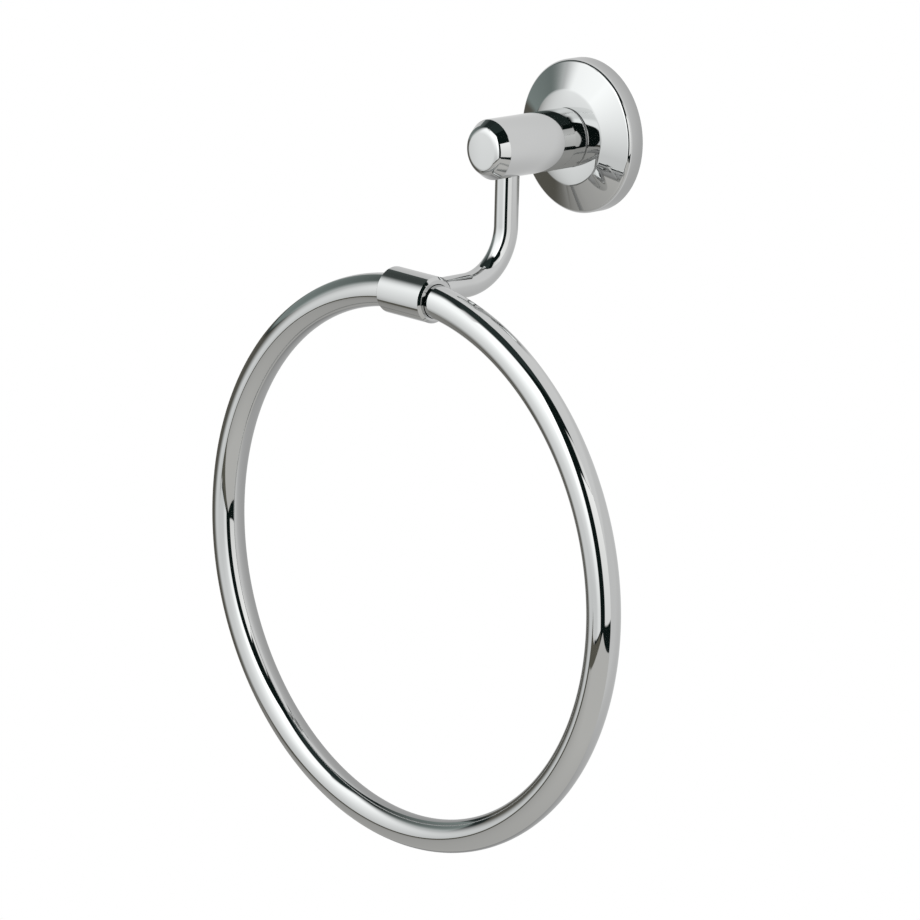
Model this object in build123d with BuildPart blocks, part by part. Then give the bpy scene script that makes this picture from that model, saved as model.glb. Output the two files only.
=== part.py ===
# Towel ring: a conical rose and a post on the wall, a bent arm out of the post, and a ring in a sleeve.
# Millimetres. The wall is the XZ plane, the front faces -Y and +Z is up.
# The origin is on the wall, in the middle of the wall plate's back face.
import os
from math import asin, degrees, sqrt

from build123d import *

# Rose
rose_diameter = 51.4
rose_rim_depth = 5.8
rose_depth = 10.0
rose_crown_diameter = 31.8
rose_crown_fall = 0.4
rose_wall = 1.6
rose_rim_edge_radius = 1.6
rose_crown_edge_radius = 3.0

# Wall plate and its screw holes
plate_clearance = 2.0
plate_thickness = 2.5
screw_spacing = 28.0
screw_hole_diameter = 4.6

# Spigot, riveted to the plate
spigot_nose_diameter = 12.0
spigot_shoulder_step = 2.5
spigot_rivet_diameter = 9.0
spigot_groove_depth = 1.2
spigot_nose_bevel = 0.8

# Post
post_diameter = 20.0
post_reach = 48.5
post_bevel_depth = 4.0
post_bevel_width = 2.7
post_face_edge_radius = 2.9
post_bevel_edge_radius = 0.8
post_back_edge_radius = 0.7

# Arm
arm_diameter = 8.0
arm_setback = 12.0
arm_bend_radius = 17.8
arm_grip_above_axis = 4.0
arm_end_bevel = 0.6

# Ring, and its place below the post and in front of the wall
ring_bar_diameter = 11.0
ring_radius = 91.0
ring_reach = 76.9
ring_drop = 43.6
ring_end_gap = 0.4

# Sleeve
sleeve_length = 21.2
sleeve_wall = 1.65
sleeve_bevel = 0.9

# Grub screws
large_grub_diameter = 5.0
large_grub_hex = 2.5
large_grub_hex_depth = 2.0
arm_grub_length = 6.0
arm_grub_recess = 2.0
small_grub_diameter = 4.0
small_grub_hex = 2.0
small_grub_hex_depth = 1.6
small_grub_offset = 5.5
small_grub_bite = 2.0
grub_sink = 0.3
grub_tip_radius = 0.4

# Clearances
slide_clearance = 0.15
thread_clearance = 0.08
seat_clearance = 0.05
end_clearance = 0.5
ring_clearance = 0.2

# Radii
rose_radius = rose_diameter / 2
post_radius = post_diameter / 2
arm_radius = arm_diameter / 2
nose_radius = spigot_nose_diameter / 2
ring_bar_radius = ring_bar_diameter / 2
plate_radius = rose_radius - rose_wall - plate_clearance
socket_radius = nose_radius + slide_clearance
large_grub_radius = large_grub_diameter / 2
small_grub_radius = small_grub_diameter / 2

# Stations, measured out from the wall along the post
rose_seat = rose_depth - rose_wall
arm_station = post_reach - arm_setback
arm_grub_tip = arm_station - arm_radius - seat_clearance
socket_end = arm_grub_tip - arm_grub_length - arm_grub_recess
nose_end = socket_end - end_clearance
post_grub_station = (rose_depth + nose_end) / 2

# The sleeve is straight outside and its bore curves with the ring, so the rise is shared above and below
sleeve_rise = ring_radius - sqrt(ring_radius**2 - (sleeve_length / 2) ** 2)
sleeve_bore_radius = ring_bar_radius + ring_clearance
sleeve_bore_angle = 2 * degrees(asin(sleeve_length / ring_radius))
sleeve_radius = sleeve_bore_radius + sleeve_rise / 2 + sleeve_wall
sleeve_height = -ring_drop - sleeve_rise / 2
ring_centre_height = -ring_drop - ring_radius
ring_gap_angle = 2 * degrees(asin(ring_end_gap / 2 / ring_radius))

# Half sections of the turned pieces: first the radius, then the distance from the wall
turning_plane = Plane(origin=(0, 0, 0), x_dir=(1, 0, 0), z_dir=(0, 0, -1))

os.makedirs("parts", exist_ok=True)

# Wall plate
with BuildPart() as wall_plate:
    with BuildSketch(Plane.XZ):
        Circle(plate_radius)
        Circle(spigot_rivet_diameter / 2, mode=Mode.SUBTRACT)
        with GridLocations(0, screw_spacing, 1, 2):
            Circle(screw_hole_diameter / 2, mode=Mode.SUBTRACT)
    extrude(amount=plate_thickness)
wall_plate.part.label = "wall_plate"
export_step(wall_plate.part, "parts/wall_plate.step")

# Spigot: rivet through the plate, shoulder for the rose, nose for the post with a groove for its screw
with BuildPart() as wall_spigot:
    shoulder_radius = nose_radius + spigot_shoulder_step
    groove_floor = nose_radius - spigot_groove_depth
    groove_half_width = spigot_groove_depth + grub_tip_radius
    with BuildSketch(turning_plane):
        with BuildLine():
            Polyline(
                (0, 0),
                (spigot_rivet_diameter / 2, 0),
                (spigot_rivet_diameter / 2, plate_thickness),
                (shoulder_radius, plate_thickness),
                (shoulder_radius, rose_seat),
                (nose_radius, rose_seat),
                (nose_radius, post_grub_station - groove_half_width),
                (groove_floor, post_grub_station - grub_tip_radius),
                (groove_floor, post_grub_station + grub_tip_radius),
                (nose_radius, post_grub_station + groove_half_width),
                (nose_radius, nose_end - spigot_nose_bevel),
                (nose_radius - spigot_nose_bevel, nose_end),
                (0, nose_end),
                close=True,
            )
        make_face()
    revolve(axis=Axis.Y)
wall_spigot.part.label = "wall_spigot"
export_step(wall_spigot.part, "parts/wall_spigot.step")

# Rose: cone with a short straight rim and a crown that falls away from the post, shelled from the wall side
with BuildPart() as rose:
    with BuildSketch(turning_plane):
        with BuildLine():
            crown = TangentArc(
                (post_radius, rose_depth),
                (rose_crown_diameter / 2, rose_depth - rose_crown_fall),
                tangent=(1, 0),
            )
            Polyline(
                crown @ 1,
                (rose_radius, rose_rim_depth),
                (rose_radius, 0),
                (0, 0),
                (0, rose_depth),
                crown @ 0,
            )
        make_face()
    revolve(axis=Axis.Y)
    cone = rose.faces().filter_by(GeomType.CONE)[0]
    crown_edge, rim_edge = cone.edges().filter_by(GeomType.CIRCLE).sort_by(Axis.Y)
    wall_side = rose.faces().sort_by(Axis.Y)[-1]
    offset(amount=-rose_wall, openings=wall_side, kind=Kind.INTERSECTION)
    fillet(crown_edge, rose_crown_edge_radius)
    fillet(rim_edge, rose_rim_edge_radius)
    with BuildSketch(Plane.XZ.offset(rose_depth)):
        Circle(socket_radius)
    extrude(amount=-rose_depth, mode=Mode.SUBTRACT)
rose.part.label = "rose"
export_step(rose.part, "parts/rose.step")

# Post: turned bar with a bevelled front, a socket at the back, and cross holes for the arm and screws
with BuildPart() as post:
    with BuildSketch(turning_plane):
        with BuildLine():
            Polyline(
                (0, rose_depth),
                (post_radius, rose_depth),
                (post_radius, post_reach - post_bevel_depth),
                (post_radius - post_bevel_width, post_reach),
                (0, post_reach),
                close=True,
            )
        make_face()
    revolve(axis=Axis.Y)
    face_edge = post.edges().filter_by(GeomType.CIRCLE).sort_by(Axis.Y)[0]
    fillet(face_edge, post_face_edge_radius)
    bevel_edge = post.edges().filter_by(GeomType.CIRCLE).sort_by(SortBy.RADIUS)[-2:].sort_by(Axis.Y)[0]
    fillet(bevel_edge, post_bevel_edge_radius)
    back_edge = post.edges().filter_by(GeomType.CIRCLE).sort_by(Axis.Y)[-1]
    fillet(back_edge, post_back_edge_radius)
    with BuildSketch(Plane.XZ.offset(rose_depth)):
        Circle(socket_radius)
    extrude(amount=socket_end - rose_depth, mode=Mode.SUBTRACT)
    with BuildSketch(Plane.XZ.offset(socket_end)):
        Circle(large_grub_radius + thread_clearance)
    extrude(amount=arm_station - socket_end, mode=Mode.SUBTRACT)
    with BuildSketch(Plane.XY.offset(arm_grip_above_axis + end_clearance)):
        with Locations((0, -arm_station)):
            Circle(arm_radius + slide_clearance)
    extrude(amount=-(arm_grip_above_axis + end_clearance + post_radius), mode=Mode.SUBTRACT)
    with BuildSketch(Plane.XY):
        with Locations((0, -post_grub_station)):
            Circle(large_grub_radius + thread_clearance)
    extrude(amount=-post_radius, mode=Mode.SUBTRACT)
post.part.label = "post"
export_step(post.part, "parts/post.step")

# Screw in the underside of the post: its cone point sits in the spigot's groove
with BuildPart() as post_grub_screw:
    screw_end = Plane(origin=(0, -post_grub_station, grub_sink - post_radius))
    tip_height = -(groove_floor + seat_clearance)
    with BuildSketch(screw_end):
        Circle(large_grub_radius)
    extrude(amount=tip_height - screw_end.origin.Z)
    chamfer(post_grub_screw.edges().sort_by(Axis.Z)[-1], large_grub_radius - grub_tip_radius)
    with BuildSketch(screw_end):
        RegularPolygon(large_grub_hex / 2, 6, major_radius=False)
    extrude(amount=large_grub_hex_depth, mode=Mode.SUBTRACT)
post_grub_screw.part.label = "post_grub_screw"
export_step(post_grub_screw.part, "parts/post_grub_screw.step")

# Screw along the post's axis, in from the socket: its flat tip presses on the arm
with BuildPart() as arm_grub_screw:
    screw_end = Plane.XZ.offset(arm_grub_tip - arm_grub_length)
    with BuildSketch(screw_end):
        Circle(large_grub_radius)
    extrude(amount=arm_grub_length)
    chamfer(arm_grub_screw.edges().sort_by(Axis.Y)[0], grub_tip_radius)
    with BuildSketch(screw_end):
        RegularPolygon(large_grub_hex / 2, 6, major_radius=False)
    extrude(amount=large_grub_hex_depth, mode=Mode.SUBTRACT)
arm_grub_screw.part.label = "arm_grub_screw"
export_step(arm_grub_screw.part, "parts/arm_grub_screw.step")

# Arm: down out of the post, bent forward, its end coped to the sleeve it is brazed to
with BuildPart() as arm:
    with BuildLine(Plane.YZ) as arm_path:
        FilletPolyline(
            (-arm_station, arm_grip_above_axis),
            (-arm_station, sleeve_height),
            (-ring_reach, sleeve_height),
            radius=arm_bend_radius,
        )
    with BuildSketch(Plane(origin=arm_path.line @ 0, z_dir=arm_path.line % 0)):
        Circle(arm_radius)
    sweep()
    chamfer(arm.edges().sort_by(Axis.Z)[-1], arm_end_bevel)
    with BuildSketch(Plane.YZ.offset(-sleeve_length / 2)):
        with Locations((-ring_reach, sleeve_height)):
            Circle(sleeve_radius)
    extrude(amount=sleeve_length, mode=Mode.SUBTRACT)
arm.part.label = "arm"
export_step(arm.part, "parts/arm.step")

# Sleeve: bevelled tube across the arm's end, bored along the ring, with a tapped hole under each ring end
with BuildPart() as sleeve:
    with BuildSketch(Plane.YZ.offset(-sleeve_length / 2)):
        with Locations((-ring_reach, sleeve_height)):
            Circle(sleeve_radius)
    extrude(amount=sleeve_length)
    chamfer(sleeve.edges().filter_by(GeomType.CIRCLE), sleeve_bevel)
    with BuildLine(Plane.XZ.offset(ring_reach)) as bore_path:
        CenterArc((0, ring_centre_height), ring_radius, 90 - sleeve_bore_angle / 2, sleeve_bore_angle)
    with BuildSketch(Plane(origin=bore_path.line @ 0, z_dir=bore_path.line % 0)):
        Circle(sleeve_bore_radius)
    sweep(mode=Mode.SUBTRACT)
    with BuildSketch(Plane.XY.offset(sleeve_height)):
        with Locations((0, -ring_reach)):
            with GridLocations(2 * small_grub_offset, 0, 2, 1):
                Circle(small_grub_radius + thread_clearance)
    extrude(amount=-sleeve_radius, mode=Mode.SUBTRACT)
sleeve.part.label = "sleeve"
export_step(sleeve.part, "parts/sleeve.step")

# Ring: round bar bent to a circle, open at the top inside the sleeve, drilled for its two screws
grub_point_height = sleeve_height - ring_bar_radius + small_grub_bite
with BuildPart() as ring:
    with BuildLine(Plane.XZ.offset(ring_reach)) as ring_path:
        CenterArc((0, ring_centre_height), ring_radius, 90 + ring_gap_angle / 2, 360 - ring_gap_angle)
    with BuildSketch(Plane(origin=ring_path.line @ 0, z_dir=ring_path.line % 0)):
        Circle(ring_bar_radius)
    sweep()
    with BuildSketch(Plane.XY.offset(grub_point_height + seat_clearance)):
        with Locations((0, -ring_reach)):
            with GridLocations(2 * small_grub_offset, 0, 2, 1):
                Circle(small_grub_radius + thread_clearance)
    extrude(amount=-ring_bar_radius, mode=Mode.SUBTRACT)
ring.part.label = "ring"
export_step(ring.part, "parts/ring.step")

# Screws in the underside of the sleeve, one into each end of the ring
with BuildPart() as ring_grub_screws:
    screw_end = Plane.XY.offset(sleeve_height - sleeve_radius + grub_sink)
    with BuildSketch(screw_end):
        with Locations((0, -ring_reach)):
            with GridLocations(2 * small_grub_offset, 0, 2, 1):
                Circle(small_grub_radius)
    extrude(amount=grub_point_height - screw_end.origin.Z)
    chamfer(ring_grub_screws.edges().group_by(Axis.Z)[-1], grub_tip_radius)
    with BuildSketch(screw_end):
        with Locations((0, -ring_reach)):
            with GridLocations(2 * small_grub_offset, 0, 2, 1):
                RegularPolygon(small_grub_hex / 2, 6, major_radius=False)
    extrude(amount=small_grub_hex_depth, mode=Mode.SUBTRACT)
ring_grub_screws.part.label = "ring_grub_screws"
export_step(ring_grub_screws.part, "parts/ring_grub_screws.step")
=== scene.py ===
from math import atan2, cos, pi, radians, sin, tan

import bmesh
import bpy
from mathutils import Euler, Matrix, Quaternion, Vector


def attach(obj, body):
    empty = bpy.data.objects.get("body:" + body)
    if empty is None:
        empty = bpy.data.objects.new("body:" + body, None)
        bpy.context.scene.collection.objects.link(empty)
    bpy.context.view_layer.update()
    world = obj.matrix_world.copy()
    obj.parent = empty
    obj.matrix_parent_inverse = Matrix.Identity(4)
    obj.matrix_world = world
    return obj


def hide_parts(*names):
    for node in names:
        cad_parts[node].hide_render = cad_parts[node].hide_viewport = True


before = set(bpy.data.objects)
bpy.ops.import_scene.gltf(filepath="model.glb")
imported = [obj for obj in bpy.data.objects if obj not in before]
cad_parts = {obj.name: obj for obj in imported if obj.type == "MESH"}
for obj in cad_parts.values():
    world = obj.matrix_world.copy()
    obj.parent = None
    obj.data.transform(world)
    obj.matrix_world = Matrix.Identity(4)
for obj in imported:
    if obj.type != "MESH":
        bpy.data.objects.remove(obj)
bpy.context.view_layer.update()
print("frame loaded:", ", ".join(sorted(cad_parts)))

mm = 0.001   # the pieces' shapes are written in millimetres


# node helpers

def freshNodes(material):
    material.use_nodes = True
    tree = material.node_tree
    tree.nodes.clear()
    return tree


def addNode(tree, kind, **settings):
    node = tree.nodes.new(kind)
    for key, value in settings.items():
        setattr(node, key, value)
    return node


def feed(tree, socket, source):
    # a socket takes another node's output, or a plain value
    if isinstance(source, bpy.types.NodeSocket):
        tree.links.new(source, socket)
    else:
        socket.default_value = source


def ramp(tree, source, low, high, outLow=0.0, outHigh=1.0, smooth=True):
    node = addNode(tree, "ShaderNodeMapRange", clamp=True)
    node.interpolation_type = "SMOOTHSTEP" if smooth else "LINEAR"
    feed(tree, node.inputs["Value"], source)
    feed(tree, node.inputs["From Min"], low)
    feed(tree, node.inputs["From Max"], high)
    feed(tree, node.inputs["To Min"], outLow)
    feed(tree, node.inputs["To Max"], outHigh)
    return node.outputs["Result"]


def mathNode(tree, operation, first, second=0.0):
    node = addNode(tree, "ShaderNodeMath", operation=operation)
    feed(tree, node.inputs[0], first)
    feed(tree, node.inputs[1], second)
    return node.outputs[0]


def times(tree, first, second):
    return mathNode(tree, "MULTIPLY", first, second)


def plus(tree, first, second):
    return mathNode(tree, "ADD", first, second)


def noise(tree, coordinates, scale, detail, stretch=(1, 1, 1)):
    mapping = addNode(tree, "ShaderNodeMapping")
    feed(tree, mapping.inputs["Vector"], coordinates)
    mapping.inputs["Scale"].default_value = stretch
    node = addNode(tree, "ShaderNodeTexNoise")
    feed(tree, node.inputs["Vector"], mapping.outputs["Vector"])
    node.inputs["Scale"].default_value = scale
    node.inputs["Detail"].default_value = detail
    return node.outputs["Fac"]


def bumped(tree, height, strength, depth):
    bump = addNode(tree, "ShaderNodeBump")
    bump.inputs["Strength"].default_value = strength
    bump.inputs["Distance"].default_value = depth
    feed(tree, bump.inputs["Height"], height)
    return bump.outputs["Normal"]


def toSurface(tree, shader, kind="ShaderNodeOutputMaterial"):
    out = addNode(tree, kind)
    feed(tree, out.inputs["Surface"], shader)


# finishes

def polishedChrome(name, grain):
    # mirror plating: buffing haze in the roughness, and a trace of ripple left by the wheel
    material = bpy.data.materials.new(name)
    tree = freshNodes(material)
    place = addNode(tree, "ShaderNodeTexCoord").outputs["Object"]
    shader = addNode(tree, "ShaderNodeBsdfPrincipled")
    shader.inputs["Base Color"].default_value = (*grain["colour"], 1)
    shader.inputs["Metallic"].default_value = 1.0
    haze = noise(tree, place, grain["hazeScale"], grain["hazeDetail"], grain["stretch"])
    feed(tree, shader.inputs["Roughness"], ramp(tree, haze, *grain["hazeLimits"], *grain["roughness"]))
    ripple = noise(tree, place, grain["rippleScale"], grain["rippleDetail"], grain["stretch"])
    normal = bumped(tree, ripple, grain["rippleStrength"], grain["rippleDepth"])
    feed(tree, shader.inputs["Normal"], normal)
    toSurface(tree, shader.outputs["BSDF"])
    return material


chromeGrain = {
    "colour": (0.55, 0.556, 0.554), "stretch": (1, 1, 1),
    "hazeScale": 420.0, "hazeDetail": 5.0, "hazeLimits": (0.35, 0.7), "roughness": (0.02, 0.05),
    "rippleScale": 90.0, "rippleDetail": 2.0, "rippleStrength": 0.04, "rippleDepth": 0.00002,
}
roseChrome = polishedChrome("rose_chrome_polish", {**chromeGrain, "stretch": (1, 2.5, 1)})
postChrome = polishedChrome("post_chrome_polish", {**chromeGrain, "stretch": (1, 2.5, 1)})
armChrome = polishedChrome("arm_chrome_polish", {**chromeGrain, "hazeScale": 520.0})
sleeveChrome = polishedChrome("sleeve_chrome_polish", {**chromeGrain, "stretch": (2.5, 1, 1)})
ringChrome = polishedChrome("ring_chrome_polish", {**chromeGrain, "hazeScale": 360.0})


def roughMetal(name, look):
    # plain machined metal: blotchy colour, tool lines along one axis, and a dull sheen
    material = bpy.data.materials.new(name)
    tree = freshNodes(material)
    place = addNode(tree, "ShaderNodeTexCoord").outputs["Object"]
    shader = addNode(tree, "ShaderNodeBsdfPrincipled")
    shader.inputs["Metallic"].default_value = 1.0
    blotch = noise(tree, place, look["blotchScale"], look["blotchDetail"])
    mix = addNode(tree, "ShaderNodeMix", data_type="RGBA")
    feed(tree, mix.inputs["Factor"], ramp(tree, blotch, *look["colourLimits"]))
    mix.inputs["A"].default_value = (*look["dark"], 1)
    mix.inputs["B"].default_value = (*look["light"], 1)
    feed(tree, shader.inputs["Base Color"], mix.outputs["Result"])
    feed(tree, shader.inputs["Roughness"], ramp(tree, blotch, *look["sheenLimits"], *look["roughness"]))
    lines = noise(tree, place, look["lineScale"], look["lineDetail"], look["lineStretch"])
    feed(tree, shader.inputs["Normal"], bumped(tree, lines, look["lineStrength"], look["lineDepth"]))
    toSurface(tree, shader.outputs["BSDF"])
    return material


machinedGrain = {
    "blotchDetail": 6.0, "colourLimits": (0.3, 0.7), "sheenLimits": (0.25, 0.75),
    "lineDetail": 3.0, "lineStrength": 0.25,
}
zincPlate = {
    **machinedGrain, "dark": (0.50, 0.52, 0.54), "light": (0.68, 0.69, 0.70), "roughness": (0.28, 0.46),
    "blotchScale": 160.0, "lineScale": 500.0, "lineStretch": (1, 1, 6), "lineDepth": 0.00004,
}
turnedBrass = {
    **machinedGrain, "dark": (0.66, 0.49, 0.22), "light": (0.82, 0.66, 0.36), "roughness": (0.18, 0.34),
    "blotchScale": 220.0, "lineScale": 260.0, "lineStretch": (0.4, 14, 0.4), "lineDepth": 0.00006,
}
screwSteel = {
    **machinedGrain, "dark": (0.30, 0.30, 0.31), "light": (0.50, 0.50, 0.51), "roughness": (0.30, 0.48),
    "blotchScale": 600.0, "lineScale": 900.0, "lineStretch": (1, 1, 5), "lineDepth": 0.00003,
}
hiddenFinishes = {
    "wall_plate": roughMetal("zinc_plate", zincPlate),
    "wall_spigot": roughMetal("turned_brass", turnedBrass),
}
darkScrews = roughMetal("screw_steel", screwSteel)
for nodeName in ("post_grub_screw", "arm_grub_screw", "ring_grub_screws"):
    hiddenFinishes[nodeName] = darkScrews
for nodeName, finish in hiddenFinishes.items():
    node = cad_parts[nodeName]
    node.data.materials.clear()
    node.data.materials.append(finish)
print("finishes ready:", len(bpy.data.materials))


# modelling helpers; lengths in millimetres, the angle in degrees
meshing = {
    "roundSegments": 8, "longEdge": 8.0, "holeAround": 64, "drillPast": 1.0, "rimSlack": 0.01,
    "mergeWithin": 0.001, "sharpAngle": 32,
}


def only(kind, geom):
    return [part for part in geom if isinstance(part, kind)]


def turnedProfile(profile, rounds, steps, longCuts=0):
    # turned about the post's axis; profile points are (radius, distance from the wall),
    # rounds are {point index: radius}
    bm = bmesh.new()
    points = [bm.verts.new((radius * mm, -distance * mm, 0)) for radius, distance in profile]
    for first, second in zip(points, points[1:]):
        bm.edges.new((first, second))
    if profile[0][0] > 0:   # a profile that leaves the axis free closes on itself
        bm.edges.new((points[-1], points[0]))
    for index, radius in rounds.items():
        corner = points[index]
        sides = [edge.other_vert(corner).co - corner.co for edge in corner.link_edges]
        turn = pi - sides[0].angle(sides[1])
        bmesh.ops.bevel(bm, geom=[corner], offset=radius * mm * tan(turn / 2), offset_type="OFFSET",
                        segments=meshing["roundSegments"], profile=0.5, affect="VERTICES", material=-1)
    if longCuts:
        runs = [edge for edge in bm.edges if edge.calc_length() > meshing["longEdge"] * mm]
        bmesh.ops.subdivide_edges(bm, edges=runs, cuts=longCuts)
    bmesh.ops.spin(bm, geom=bm.verts[:] + bm.edges[:], cent=(0, 0, 0), axis=(0, 1, 0), dvec=(0, 0, 0),
                   angle=2 * pi, steps=steps, use_merge=True, use_duplicate=False)
    return bm


def cleaned(bm):
    bmesh.ops.remove_doubles(bm, verts=bm.verts, dist=meshing["mergeWithin"] * mm)
    bmesh.ops.recalc_face_normals(bm, faces=bm.faces)
    for face in bm.faces:
        face.smooth = True
    for edge in bm.edges:
        edge.smooth = edge.calc_face_angle(0.0) < radians(meshing["sharpAngle"])
    return bm


def asObject(name, bm):
    mesh = bpy.data.meshes.new(name)
    cleaned(bm).to_mesh(mesh)
    bm.free()
    piece = bpy.data.objects.new(name, mesh)
    bpy.context.scene.collection.objects.link(piece)
    return piece


def cutOut(piece, bm):
    # the mesh in bm is taken away from the piece
    cutter = asObject(piece.name + "_cutter", bm)
    cut = piece.modifiers.new("cut", "BOOLEAN")
    cut.operation = "DIFFERENCE"
    cut.solver = "EXACT"
    cut.object = cutter
    graph = bpy.context.evaluated_depsgraph_get()
    left = bpy.data.meshes.new_from_object(piece.evaluated_get(graph))
    piece.modifiers.clear()
    piece.data = left
    bpy.data.objects.remove(cutter)
    bm = bmesh.new()
    bm.from_mesh(left)
    cleaned(bm).to_mesh(left)
    bm.free()


def drill(piece, holes):
    # each hole is (centre of its floor, centre of its mouth, radius)
    bm = bmesh.new()
    for floor, mouth, radius in holes:
        start, end = Vector(floor) * mm, Vector(mouth) * mm
        ring = bmesh.ops.create_circle(bm, cap_ends=True, segments=meshing["holeAround"],
                                       radius=radius * mm)["verts"]
        turn = (end - start).to_track_quat("Z", "Y")
        bmesh.ops.rotate(bm, verts=ring, cent=(0, 0, 0), matrix=turn.to_matrix())
        bmesh.ops.translate(bm, verts=ring, vec=start)
        disc = [face for face in bm.faces if all(vert in ring for vert in face.verts)]
        grown = bmesh.ops.extrude_face_region(bm, geom=disc, use_keep_orig=True)["geom"]
        bmesh.ops.translate(bm, verts=only(bmesh.types.BMVert, grown), vec=end - start)
    cutOut(piece, bm)


def dress(piece, finish, slotName, *nodeNames):
    piece.data.materials.clear()
    piece.data.materials.append(finish)
    even = piece.modifiers.new("evenShading", "WEIGHTED_NORMAL")
    even.mode = "FACE_AREA"
    even.keep_sharp = True
    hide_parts(*nodeNames)
    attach(piece, "root")
    print(piece.name, "faces:", len(piece.data.polygons))


# rose: hollow cone with a short straight rim, its crown a shallow arc round the flat
roseShape = {
    "rimRadius": 25.7, "rimDepth": 5.8, "depth": 10.0, "crownRadius": 15.9, "crownFall": 0.4,
    "flatRadius": 10.0, "wall": 1.6, "boreRadius": 6.15, "rimRound": 1.6, "crownRound": 3.0,
    "crownArcShare": 0.98, "steps": 256,
}


def makeRose(shape):
    wall, seat = shape["wall"], shape["depth"] - shape["wall"]
    crownRun = shape["crownRadius"] - shape["flatRadius"]
    crownDepth = shape["depth"] - shape["crownFall"]
    crownLean = 2 * atan2(shape["crownFall"], crownRun)
    knee = shape["flatRadius"] + crownRun / 2
    lean = atan2(crownDepth - shape["rimDepth"], shape["rimRadius"] - shape["crownRadius"])
    innerRadius = shape["rimRadius"] - wall
    innerRim = shape["rimDepth"] - wall * tan(pi / 4 - lean / 2)
    innerCrown = shape["crownRadius"] - wall * tan(lean / 2)
    profile = [
        (shape["rimRadius"], 0), (shape["rimRadius"], shape["rimDepth"]),
        (shape["crownRadius"], crownDepth), (knee, shape["depth"]), (shape["boreRadius"], shape["depth"]),
        (shape["boreRadius"], seat), (shape["flatRadius"], seat), (innerCrown, seat - shape["crownFall"]),
        (innerRadius, innerRim), (innerRadius, 0),
    ]
    crownArc = shape["crownArcShare"] * crownRun / 2 / tan(crownLean / 2)
    rounds = {1: shape["rimRound"], 2: shape["crownRound"], 3: crownArc}
    return asObject("rose_shell", turnedProfile(profile, rounds, shape["steps"]))


rose = makeRose(roseShape)
dress(rose, roseChrome, "rose_chrome", "rose")

# post: bar with a bevelled front, a socket behind, and holes below for the arm and its screw
postShape = {
    "radius": 10.0, "back": 10.0, "reach": 48.5, "bevelDepth": 4.0, "bevelWidth": 2.7,
    "faceRound": 2.9, "bevelRound": 0.8, "backRound": 0.7, "socketRadius": 6.15, "socketEnd": 24.45,
    "screwBore": 2.58, "armStation": 36.5, "armHole": 4.15, "armHoleTop": 4.5,
    "screwStation": 16.975, "steps": 256, "longCuts": 15,
}


def makePost(shape):
    profile = [
        (0, shape["reach"]), (shape["radius"] - shape["bevelWidth"], shape["reach"]),
        (shape["radius"], shape["reach"] - shape["bevelDepth"]), (shape["radius"], shape["back"]),
        (shape["socketRadius"], shape["back"]), (shape["socketRadius"], shape["socketEnd"]),
        (shape["screwBore"], shape["socketEnd"]), (shape["screwBore"], shape["armStation"]),
        (0, shape["armStation"]),
    ]
    rounds = {1: shape["faceRound"], 2: shape["bevelRound"], 3: shape["backRound"]}
    piece = asObject("post_bar", turnedProfile(profile, rounds, shape["steps"], shape["longCuts"]))
    below = -shape["radius"] - meshing["drillPast"]
    arm, screw = -shape["armStation"], -shape["screwStation"]
    drill(piece, [
        ((0, arm, shape["armHoleTop"]), (0, arm, below), shape["armHole"]),
        ((0, screw, 0), (0, screw, below), shape["screwBore"]),
    ])
    return piece


post = makePost(postShape)
dress(post, postChrome, "post_chrome", "post")

# arm: rod straight down out of the post, then bent forward into the sleeve's wall
armShape = {
    "radius": 4.0, "station": 36.5, "top": 4.0, "axisHeight": -43.91, "bendRadius": 17.8,
    "endStation": 70.5, "topBevel": 0.6, "around": 72, "bendSteps": 40,
}


def makeArm(shape):
    bm = bmesh.new()
    end = bmesh.ops.create_circle(bm, cap_ends=True, segments=shape["around"], radius=shape["radius"] * mm)
    bmesh.ops.translate(bm, verts=end["verts"], vec=Vector((0, -shape["station"], shape["top"])) * mm)
    bendTop = shape["axisHeight"] + shape["bendRadius"]
    grown = bmesh.ops.extrude_face_region(bm, geom=bm.faces[:], use_keep_orig=True)["geom"]
    bmesh.ops.translate(bm, verts=only(bmesh.types.BMVert, grown),
                        vec=Vector((0, 0, bendTop - shape["top"])) * mm)
    hub = Vector((0, -shape["station"] - shape["bendRadius"], bendTop)) * mm
    lowerFace = only(bmesh.types.BMFace, grown)
    bent = bmesh.ops.spin(bm, geom=lowerFace, cent=hub, axis=(1, 0, 0), dvec=(0, 0, 0),
                          angle=-pi / 2, steps=shape["bendSteps"], use_merge=False, use_duplicate=False)
    frontFace = only(bmesh.types.BMFace, bent["geom_last"])
    grown = bmesh.ops.extrude_face_region(bm, geom=frontFace)["geom"]
    run = shape["endStation"] - shape["station"] - shape["bendRadius"]
    bmesh.ops.translate(bm, verts=only(bmesh.types.BMVert, grown), vec=Vector((0, -run, 0)) * mm)
    rimFloor = (shape["top"] - meshing["rimSlack"]) * mm
    topRim = [edge for edge in bm.edges if all(vert.co.z > rimFloor for vert in edge.verts)]
    bmesh.ops.bevel(bm, geom=topRim, offset=shape["topBevel"] * mm, offset_type="OFFSET",
                    segments=1, profile=0.5, affect="EDGES", material=-1)
    return asObject("drop_arm", bm)


arm = makeArm(armShape)
dress(arm, armChrome, "arm_chrome", "arm")


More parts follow.
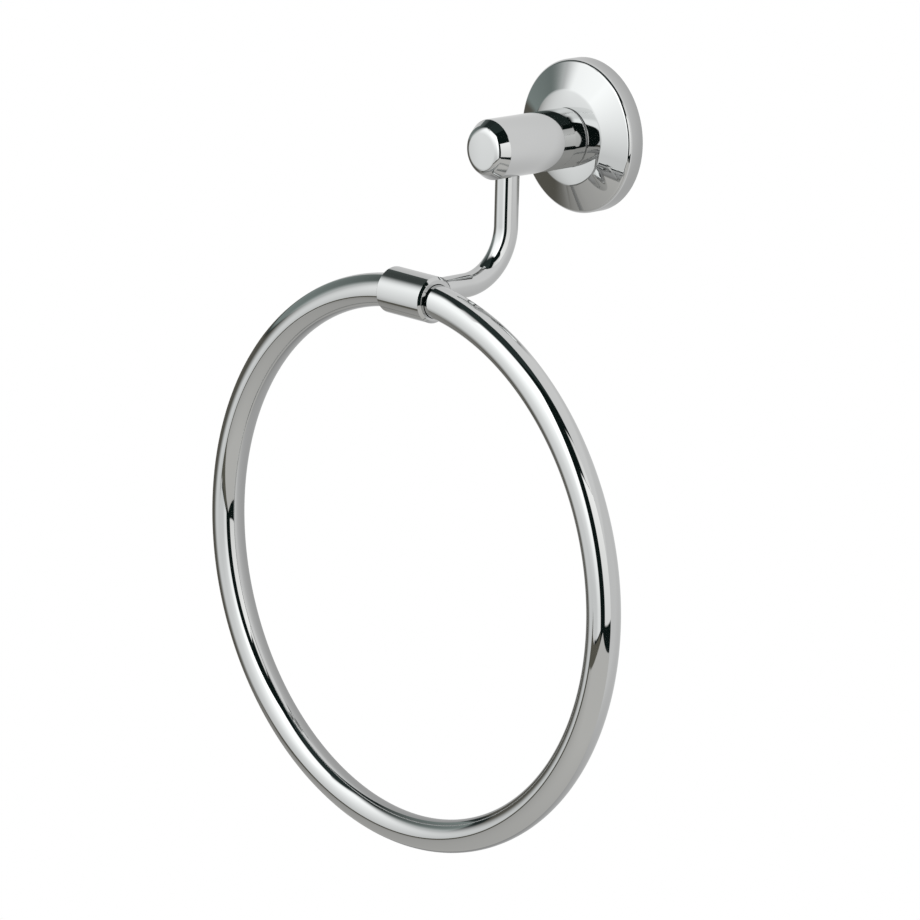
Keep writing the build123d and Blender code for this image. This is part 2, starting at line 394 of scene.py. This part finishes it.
# bent bar, for the ring and for the bore it lies in
def bentBar(barRadius, around, shape, firstAngle, angle, steps):
    bm = bmesh.new()
    end = bmesh.ops.create_circle(bm, cap_ends=True, segments=around, radius=barRadius * mm)["verts"]
    stand = Euler((0, pi / 2, 0)).to_matrix()
    bmesh.ops.rotate(bm, verts=end, cent=(0, 0, 0), matrix=stand)
    hub = Vector((0, -shape["reach"], shape["centreHeight"])) * mm
    bmesh.ops.translate(bm, verts=end, vec=hub + Vector((0, 0, shape["radius"] * mm)))
    nudge = Quaternion((0, 1, 0), firstAngle).to_matrix()
    bmesh.ops.rotate(bm, verts=end, cent=hub, matrix=nudge)
    bmesh.ops.spin(bm, geom=bm.faces[:], cent=hub, axis=(0, 1, 0), dvec=(0, 0, 0),
                   angle=angle, steps=steps, use_merge=False, use_duplicate=False)
    return bm


# the ring's sizes come first, because the sleeve's bore follows them
ringShape = {
    "barRadius": 5.5, "radius": 91.0, "reach": 76.9, "centreHeight": -134.6,
    "endGap": 0.4, "around": 56, "steps": 480,
}

# sleeve: bevelled tube across the arm's end, its bore bent with the ring
sleeveShape = {
    "radius": 7.66, "bore": 5.7, "length": 21.2, "bevel": 0.9, "edgeRound": 0.15,
    "reach": 76.9, "axisHeight": -43.91, "screwOffset": 5.5, "screwHole": 2.08,
    "steps": 160, "longCuts": 9, "boreAround": 120, "boreSteps": 40,
}


def makeSleeve(shape):
    half = shape["length"] / 2
    outer, bevel = shape["radius"], shape["bevel"]
    profile = [
        (0, half), (outer - bevel, half), (outer, half - bevel),
        (outer, bevel - half), (outer - bevel, -half), (0, -half),
    ]
    rounds = {index: shape["edgeRound"] for index in (1, 2, 3, 4)}
    bm = turnedProfile(profile, rounds, shape["steps"], shape["longCuts"])
    lay = Euler((0, 0, pi / 2)).to_matrix()   # turned about Y, then laid along X
    bmesh.ops.rotate(bm, verts=bm.verts, cent=(0, 0, 0), matrix=lay)
    bmesh.ops.translate(bm, verts=bm.verts, vec=Vector((0, -shape["reach"], shape["axisHeight"])) * mm)
    piece = asObject("ring_sleeve", bm)
    sweep = shape["length"] / ringShape["radius"]
    bore = bentBar(shape["bore"], shape["boreAround"], ringShape, -sweep, 2 * sweep, shape["boreSteps"])
    cutOut(piece, bore)
    below = shape["axisHeight"] - outer - meshing["drillPast"]
    holes = []
    for side in (-shape["screwOffset"], shape["screwOffset"]):
        floor = (side, -shape["reach"], shape["axisHeight"])
        mouth = (side, -shape["reach"], below)
        holes.append((floor, mouth, shape["screwHole"]))
    drill(piece, holes)
    return piece


sleeve = makeSleeve(sleeveShape)
dress(sleeve, sleeveChrome, "sleeve_chrome", "sleeve")


# ring: round bar bent to a circle, its ends just apart inside the sleeve
def makeRing(shape):
    gap = shape["endGap"] / shape["radius"]
    bm = bentBar(shape["barRadius"], shape["around"], shape, gap / 2, 2 * pi - gap, shape["steps"])
    return asObject("hanging_ring", bm)


ring = makeRing(ringShape)
dress(ring, ringChrome, "ring_chrome", "ring")
print("pieces modelled")


# studio: pale floor, white surroundings, and cards that only the polish sees; metres and degrees

floorLook = {"height": -1.5, "radius": 2.4, "around": 64, "fade": 0.6, "colour": (0.93, 0.93, 0.93)}


def makeFloor(look):
    bm = bmesh.new()
    bmesh.ops.create_circle(bm, cap_ends=True, segments=look["around"], radius=look["radius"])
    floor = asObject("studio_floor", bm)
    floor.location.z = look["height"]
    material = bpy.data.materials.new("pale_floor")
    tree = freshNodes(material)
    place = addNode(tree, "ShaderNodeTexCoord").outputs["Object"]
    reach = addNode(tree, "ShaderNodeVectorMath", operation="LENGTH")
    feed(tree, reach.inputs[0], place)
    paint = addNode(tree, "ShaderNodeBsdfDiffuse")
    paint.inputs["Color"].default_value = (*look["colour"], 1)
    clear = addNode(tree, "ShaderNodeBsdfTransparent")
    blend = addNode(tree, "ShaderNodeMixShader")
    edge = ramp(tree, reach.outputs["Value"], look["radius"] - look["fade"], look["radius"])
    feed(tree, blend.inputs["Fac"], edge)
    feed(tree, blend.inputs[1], paint.outputs["BSDF"])
    feed(tree, blend.inputs[2], clear.outputs["BSDF"])
    toSurface(tree, blend.outputs["Shader"])
    floor.data.materials.append(material)


makeFloor(floorLook)

# white all round, with a dark ceiling in the reflections
surroundings = {
    "white": (1, 1, 1), "ceiling": (0.030, 0.044, 0.042), "ceilingStart": 53, "ceilingFull": 63,
}


def makeSurroundings(look):
    world = bpy.data.worlds.new("white_studio")
    bpy.context.scene.world = world
    tree = freshNodes(world)
    direction = addNode(tree, "ShaderNodeTexCoord").outputs["Generated"]
    split = addNode(tree, "ShaderNodeSeparateXYZ")
    feed(tree, split.inputs[0], direction)
    start, full = sin(radians(look["ceilingStart"])), sin(radians(look["ceilingFull"]))
    above = ramp(tree, split.outputs["Z"], start, full)
    paths = addNode(tree, "ShaderNodeLightPath")
    blend = addNode(tree, "ShaderNodeMix", data_type="RGBA")
    feed(tree, blend.inputs["Factor"], times(tree, above, paths.outputs["Is Glossy Ray"]))
    blend.inputs["A"].default_value = (*look["white"], 1)
    blend.inputs["B"].default_value = (*look["ceiling"], 1)
    shine = addNode(tree, "ShaderNodeBackground")
    feed(tree, shine.inputs["Color"], blend.outputs["Result"])
    toSurface(tree, shine.outputs["Background"], "ShaderNodeOutputWorld")


makeSurroundings(surroundings)

studioHub = Vector((0, -0.077, 0))   # straight above the ring, level with the post


def glossyOnly(card):
    card.visible_camera = False
    card.visible_diffuse = False
    card.visible_transmission = False
    card.visible_volume_scatter = False
    card.visible_shadow = False


def cardSheet(name, across, up):
    bm = bmesh.new()
    sheet = bmesh.ops.create_grid(bm, x_segments=1, y_segments=1, size=0.5)["verts"]
    bmesh.ops.scale(bm, verts=sheet, vec=(across[1] - across[0], up[1] - up[0], 1))
    bmesh.ops.translate(bm, verts=sheet, vec=(sum(across) / 2, sum(up) / 2, 0))
    return asObject(name, bm)


def cardPaint(name, look, across, up, level):
    # level is a function that takes the tree and the card's own coordinates and gives the glow
    material = bpy.data.materials.new(name)
    material.cycles.emission_sampling = "NONE"
    tree = freshNodes(material)
    split = addNode(tree, "ShaderNodeSeparateXYZ")
    feed(tree, split.inputs[0], addNode(tree, "ShaderNodeTexCoord").outputs["Object"])
    along, high = split.outputs["X"], split.outputs["Y"]
    left, right, bottom, top = look["fade"]
    cover = times(tree, ramp(tree, along, across[0], across[0] + left),
                  ramp(tree, along, across[1], across[1] - right))
    cover = times(tree, cover, ramp(tree, high, up[0], up[0] + bottom))
    cover = times(tree, cover, ramp(tree, high, up[1], up[1] - top))
    glow = addNode(tree, "ShaderNodeEmission")
    glow.inputs["Color"].default_value = (*look["colour"], 1)
    feed(tree, glow.inputs["Strength"], level(tree, along, high))
    clear = addNode(tree, "ShaderNodeBsdfTransparent")
    blend = addNode(tree, "ShaderNodeMixShader")
    feed(tree, blend.inputs["Fac"], cover)
    feed(tree, blend.inputs[1], clear.outputs["BSDF"])
    feed(tree, blend.inputs[2], glow.outputs["Emission"])
    toSurface(tree, blend.outputs["Shader"])
    return material


# an upright card: turn goes from the front towards the right, fade is left, right, bottom, top,
# glow is at the bottom and at the top of glowRise, or of the card
def standingCard(name, look):
    turn = radians(look["turn"])
    card = cardSheet(name, look["span"], look["rise"])
    card.rotation_euler = (pi / 2, 0, turn)
    card.location = studioHub + Vector((sin(turn), -cos(turn), 0)) * look["distance"]

    def level(tree, along, high):
        glow = ramp(tree, high, *look.get("glowRise", look["rise"]), *look["glow"], smooth=False)
        if "sideGain" in look:
            glow = times(tree, glow, ramp(tree, along, *look["sideGain"]))
        return glow

    card.data.materials.append(cardPaint(name + "_glow", look, look["span"], look["rise"], level))
    glossyOnly(card)


frontSoftbox = {
    "turn": 0, "distance": 0.80, "span": (-0.45, 0.51), "rise": (-0.40, 1.40),
    "fade": (0.03, 0.04, 0.006, 0.30), "glow": (0.95, 1.85), "glowRise": (-0.30, 0.40),
    "sideGain": (0.04, 0.30, 1.0, 1.28), "colour": (0.985, 1, 1),
}
standingCard("front_softbox", frontSoftbox)

sideSoftbox = {
    "turn": 60, "distance": 1.02, "span": (-0.055, 0.672), "rise": (-0.39, 0.57),
    "fade": (0.02, 0.004, 0.02, 0.04), "glow": (1.1, 1.5), "colour": (1, 1, 0.99),
}
standingCard("side_softbox", sideSoftbox)

sideTop = {
    "turn": 60, "distance": 1.02, "span": (0.17, 0.672), "rise": (0.50, 1.25),
    "fade": (0.12, 0.004, 0.02, 0.10), "glow": (1.3, 1.0), "colour": (1, 1, 0.99),
}
standingCard("side_top", sideTop)

darkDrape = {
    "turn": 44, "distance": 1.30, "span": (-1.90, 1.60), "rise": (-1.40, 3.60),
    "fade": (0.20, 0.10, 0.06, 0.40), "glow": (0.012, 0.012), "colour": (0.5, 1, 0.9),
}
standingCard("dark_drape", darkDrape)

leftDrape = {
    "turn": -90, "distance": 1.10, "span": (-0.80, 1.20), "rise": (-0.30, 2.60),
    "fade": (0.10, 0.20, 0.10, 0.30), "glow": (0.035, 0.035), "colour": (0.75, 1.05, 1.0),
}
standingCard("left_drape", leftDrape)

greyFlag = {
    "turn": -90, "distance": 0.62, "span": (-0.48, 0.37), "rise": (-0.055, 0.68),
    "fade": (0.05, 0.05, 0.035, 0.10), "glow": (0.33, 0.03), "colour": (0.90, 1.06, 1.02),
}
standingCard("grey_flag", greyFlag)

leftFloor = {
    "turn": -90, "distance": 0.98, "span": (-0.80, 1.10), "rise": (-1.40, -0.03),
    "fade": (0.10, 0.20, 0.10, 0.04), "glow": (0.13, 0.13), "colour": (1.04, 1.0, 0.85),
}
standingCard("left_floor", leftFloor)

leftSoftbox = {
    "turn": -75.8, "distance": 0.488, "span": (-0.01, 0.73), "rise": (-0.42, 0.85),
    "fade": (0.27, 0.12, 0.004, 0.30), "glow": (0.84, 1.72), "glowRise": (-0.42, 0.34),
    "colour": (0.985, 1, 1),
}
standingCard("left_softbox", leftSoftbox)

frontFrame = {
    "turn": 0, "distance": 0.79, "span": (-0.45, 0.51), "rise": (-0.46, -0.400),
    "fade": (0.02, 0.02, 0.002, 0.006), "glow": (0.14, 0.14), "colour": (1.04, 1.0, 0.82),
}
standingCard("front_frame", frontFrame)

leftFrame = {
    "turn": -75.8, "distance": 0.483, "span": (0.03, 0.72), "rise": (-0.43, -0.365),
    "fade": (0.10, 0.06, 0.002, 0.006), "glow": (0.13, 0.13), "colour": (1.04, 1.0, 0.82),
}
standingCard("left_frame", leftFrame)


# a level card, its glow a painted pool of light: lighter to the right and to the front, towards the
# softboxes
def lyingCard(name, look):
    card = cardSheet(name, look["span"], look["depth"])
    card.location.z = look["height"]

    def level(tree, along, high):
        # painted light, rising across the card towards the right and front
        across = plus(tree, along, times(tree, high, look["slant"]))
        return ramp(tree, across, *look["glow"], smooth=False)

    card.data.materials.append(cardPaint(name + "_glow", look, look["span"], look["depth"], level))
    glossyOnly(card)


# the table's glow is painted light, brighter towards the softboxes
tableTop = {
    "height": -0.425, "span": (-0.65, 0.74), "depth": (-0.80, 0.60), "fade": (0.36, 0.02, 0.02, 0.10),
    "slant": -0.4, "glow": (-0.22, 0.30, 0.52, 0.74), "colour": (1, 0.99, 0.96),
}
lyingCard("table_top", tableTop)


# the wall the object hangs on, its glow with painted shade: dimmer low down and out to the left, and a
# painted shadow close round the rose
def wallCard(name, look):
    card = cardSheet(name, look["span"], look["rise"])
    card.rotation_euler = (pi / 2, 0, 0)
    card.location.y = look["gap"]

    def level(tree, along, high):
        # painted shadow round the rose, centred a little below it
        drop = plus(tree, high, look["shadeDrop"])
        square = plus(tree, times(tree, along, along), times(tree, drop, drop))
        shade = ramp(tree, mathNode(tree, "SQRT", square), *look["shade"])
        # painted shade: darker low down and out to the left
        lowShade = ramp(tree, high, *look["lowShade"])
        across = plus(tree, along, times(tree, high, look["slant"]))
        leftShade = ramp(tree, across, *look["leftShade"], smooth=False)
        return times(tree, shade, times(tree, lowShade, leftShade))

    card.data.materials.append(cardPaint(name + "_glow", look, look["span"], look["rise"], level))
    glossyOnly(card)


# the wall's glow: painted shade low down and to the left, and a painted shadow round the rose
wallBoard = {
    "span": (-0.165, 1.50), "rise": (-0.46, 1.20), "fade": (0.004, 0.10, 0.01, 0.30), "gap": 0.0008,
    "lowShade": (-0.055, -0.010, 0.88, 1.0), "slant": 0.8, "leftShade": (-0.36, 0.06, 0.40, 1.0),
    "shade": (0.026, 0.038, 0.66, 1.0), "shadeDrop": 0.003, "colour": (1, 1, 1),
}
wallCard("wall_board", wallBoard)
print("studio ready")

# camera, from the front right and a little above; lens and sensor in millimetres
cameraView = {
    "target": (-0.0071, -0.0480, -0.1054), "distance": 1.6016,
    "azimuth": 46.59, "elevation": 14.79, "roll": 1.39,
    "lens": 189.0, "sensor": 36.0, "clip": (0.05, 50),
}


def makeCamera(view):
    data = bpy.data.cameras.new("photo_camera")
    data.sensor_width = view["sensor"]
    data.lens = view["lens"]
    data.clip_start, data.clip_end = view["clip"]
    camera = bpy.data.objects.new("photo_camera", data)
    bpy.context.scene.collection.objects.link(camera)
    side, rise = radians(view["azimuth"]), radians(view["elevation"])
    back = Vector((sin(side) * cos(rise), -cos(side) * cos(rise), sin(rise)))
    camera.location = Vector(view["target"]) + back * view["distance"]
    camera.rotation_mode = "QUATERNION"
    camera.rotation_quaternion = back.to_track_quat("Z", "Y") @ Quaternion((0, 0, 1), radians(view["roll"]))
    bpy.context.scene.camera = camera


makeCamera(cameraView)
bpy.context.scene.view_settings.view_transform = "Standard"
print("camera set")
